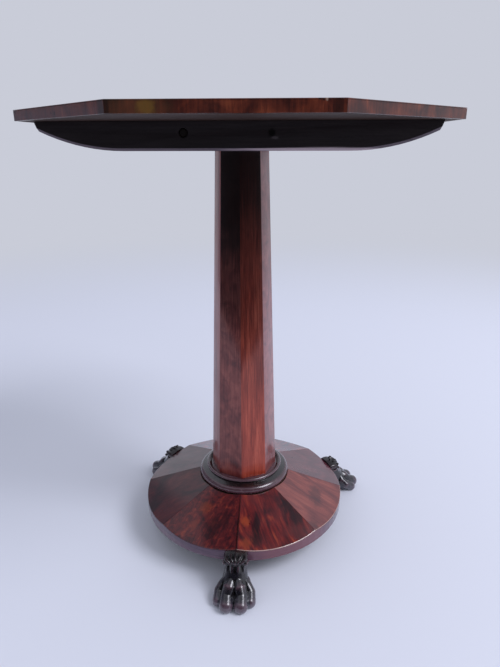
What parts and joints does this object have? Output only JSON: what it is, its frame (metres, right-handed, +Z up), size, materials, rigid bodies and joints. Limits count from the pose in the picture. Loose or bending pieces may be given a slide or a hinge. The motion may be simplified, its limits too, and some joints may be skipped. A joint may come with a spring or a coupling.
{
  "type": "tilt-top lamp table",
  "caption": "Octagonal tilt-top lamp table with cross-banded edges on long bearers, a tapered faceted column, a turned collar, a faceted round base and carved paw feet.",
  "frame": {"origin": "on the floor under the middle of the column", "axes": "+Z up along the column, -Y towards the front bearer and the front foot, -X towards the tilt pivot"},
  "size_m": [0.596, 0.596, 0.72],
  "materials": {
    "polished_mahogany": "french polished",
    "crossbanded_mahogany": "french polished, cross grain",
    "flame_mahogany": "french polished, flame figure",
    "ebonised_mahogany": "carved, stained near black, waxed",
    "dark_stained_beech": "stained near black",
    "pine": "bare",
    "oak": "bare",
    "old_brass": "aged",
    "iron": "dulled"
  },
  "bodies": {
    "stand": {"base_core": "pine", "base_rim_band": "flame_mahogany", "base_veneer_1": "flame_mahogany", "base_veneer_2": "flame_mahogany", "base_veneer_3": "flame_mahogany", "base_veneer_4": "flame_mahogany", "base_veneer_5": "flame_mahogany", "base_veneer_6": "flame_mahogany", "base_veneer_7": "flame_mahogany", "base_veneer_8": "flame_mahogany", "collar": "ebonised_mahogany", "column": "polished_mahogany", "column_wedge_upper": "oak", "column_wedge_lower": "oak", "column_block": "dark_stained_beech", "pivot_pin_front": "oak", "pivot_pin_rear": "oak", "keeper_plate": "old_brass", "keeper_screw_1": "old_brass", "keeper_screw_2": "old_brass", "paw_foot_front": "ebonised_mahogany", "paw_foot_right": "ebonised_mahogany", "paw_foot_left": "ebonised_mahogany", "foot_dowel_front": "oak", "foot_dowel_right": "oak", "foot_dowel_left": "oak"},
    "top": {"top_veneer": "polished_mahogany", "top_ground": "pine", "edge_band_1": "crossbanded_mahogany", "edge_band_2": "crossbanded_mahogany", "edge_band_3": "crossbanded_mahogany", "edge_band_4": "crossbanded_mahogany", "edge_band_5": "crossbanded_mahogany", "edge_band_6": "crossbanded_mahogany", "edge_band_7": "crossbanded_mahogany", "edge_band_8": "crossbanded_mahogany", "bearer_front": "dark_stained_beech", "bearer_rear": "dark_stained_beech", "bearer_screw_1": "iron", "bearer_screw_2": "iron", "bearer_screw_3": "iron", "bearer_screw_4": "iron", "bearer_screw_5": "iron", "bearer_screw_6": "iron", "bearer_screw_7": "iron", "bearer_screw_8": "iron", "catch_case": "old_brass", "catch_screw_1": "old_brass", "catch_screw_2": "old_brass", "catch_screw_3": "old_brass", "catch_screw_4": "old_brass"},
    "catch_bolt": {"catch_bolt": "old_brass"}
  },
  "joints": [
    {"name": "top_tilt", "type": "hinge", "parent": "stand", "child": "top", "pos_m": [-0.0693, 0, 0.691], "axis": [0, -1, 0], "range_deg": [0, 90]},
    {"name": "catch_slide", "type": "slide", "parent": "top", "child": "catch_bolt", "axis": [-1, 0, 0], "range_m": [0, 0.009]}
  ]
}
